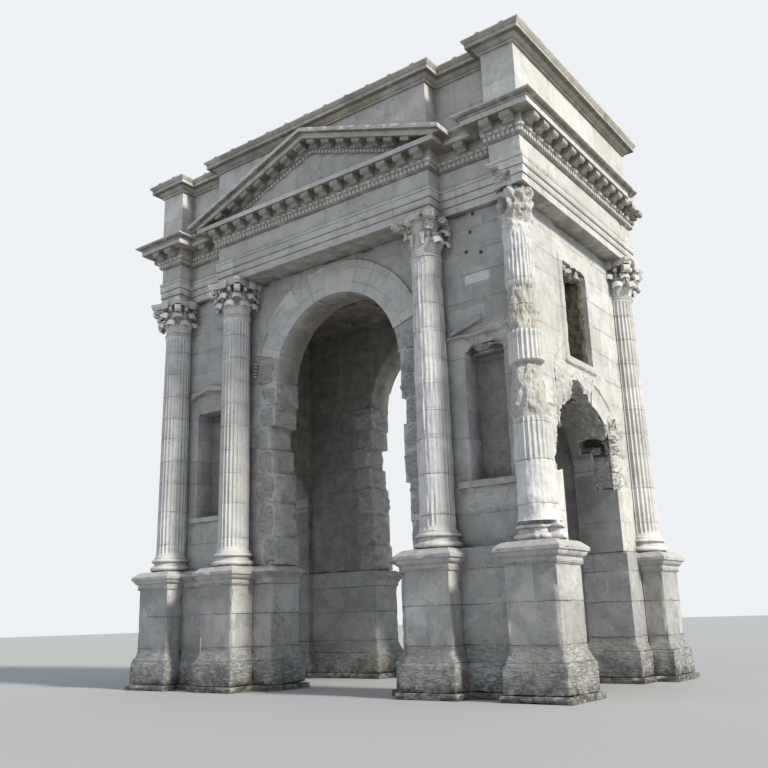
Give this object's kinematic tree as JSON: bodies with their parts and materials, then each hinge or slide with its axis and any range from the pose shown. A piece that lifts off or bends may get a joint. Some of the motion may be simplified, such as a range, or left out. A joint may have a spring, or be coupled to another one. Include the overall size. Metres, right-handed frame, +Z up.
{
  "type": "triumphal arch",
  "caption": "Free-standing triumphal arch in weathered pale limestone, open on every side, with fluted engaged columns on pedestals, niches, pediments and a plain attic.",
  "frame": {"origin": "on the ground at the centre of the plan", "axes": "+X along the long side to the right, +Y from front to rear, +Z up"},
  "size_m": [11.47, 6.69, 12.73],
  "materials": {
    "limestone": "weathered, stained, worn edges",
    "stained_limestone": "weathered, dark with moss and dirt near the ground",
    "column_limestone": "dressed, worn",
    "roof_slabs": "dull"
  },
  "bodies": {
    "root": {"arch_head_front": "limestone", "arch_head_rear": "limestone", "architrave": "limestone", "archivolt_front": "limestone", "archivolt_rear": "limestone", "attic": "limestone", "attic_cornice": "limestone", "capital_front_left_corner": "column_limestone", "capital_front_left_inner": "column_limestone", "capital_front_right_corner": "column_limestone", "capital_front_right_inner": "column_limestone", "capital_rear_left_corner": "column_limestone", "capital_rear_left_inner": "column_limestone", "capital_rear_right_corner": "column_limestone", "capital_rear_right_inner": "column_limestone", "ceiling": "limestone", "column_front_left_corner": "column_limestone", "column_front_left_inner": "column_limestone", "column_front_right_corner": "column_limestone", "column_front_right_inner": "column_limestone", "column_rear_left_corner": "column_limestone", "column_rear_left_inner": "column_limestone", "column_rear_right_corner": "column_limestone", "column_rear_right_inner": "column_limestone", "footings": "stained_limestone", "frieze": "limestone", "main_cornice": "limestone", "pedestals_front_left": "stained_limestone", "pedestals_front_right": "stained_limestone", "pedestals_rear_left": "stained_limestone", "pedestals_rear_right": "stained_limestone", "pediment_front": "limestone", "pediment_rear": "limestone", "pier_base_front_left": "stained_limestone", "pier_base_front_right": "stained_limestone", "pier_base_rear_left": "stained_limestone", "pier_base_rear_right": "stained_limestone", "pier_front_left": "limestone", "pier_front_right": "limestone", "pier_rear_left": "limestone", "pier_rear_right": "limestone", "roof_covering": "roof_slabs", "side_arch_head_left": "limestone", "side_arch_head_right": "limestone", "side_archivolts": "limestone"}
  },
  "joints": []
}
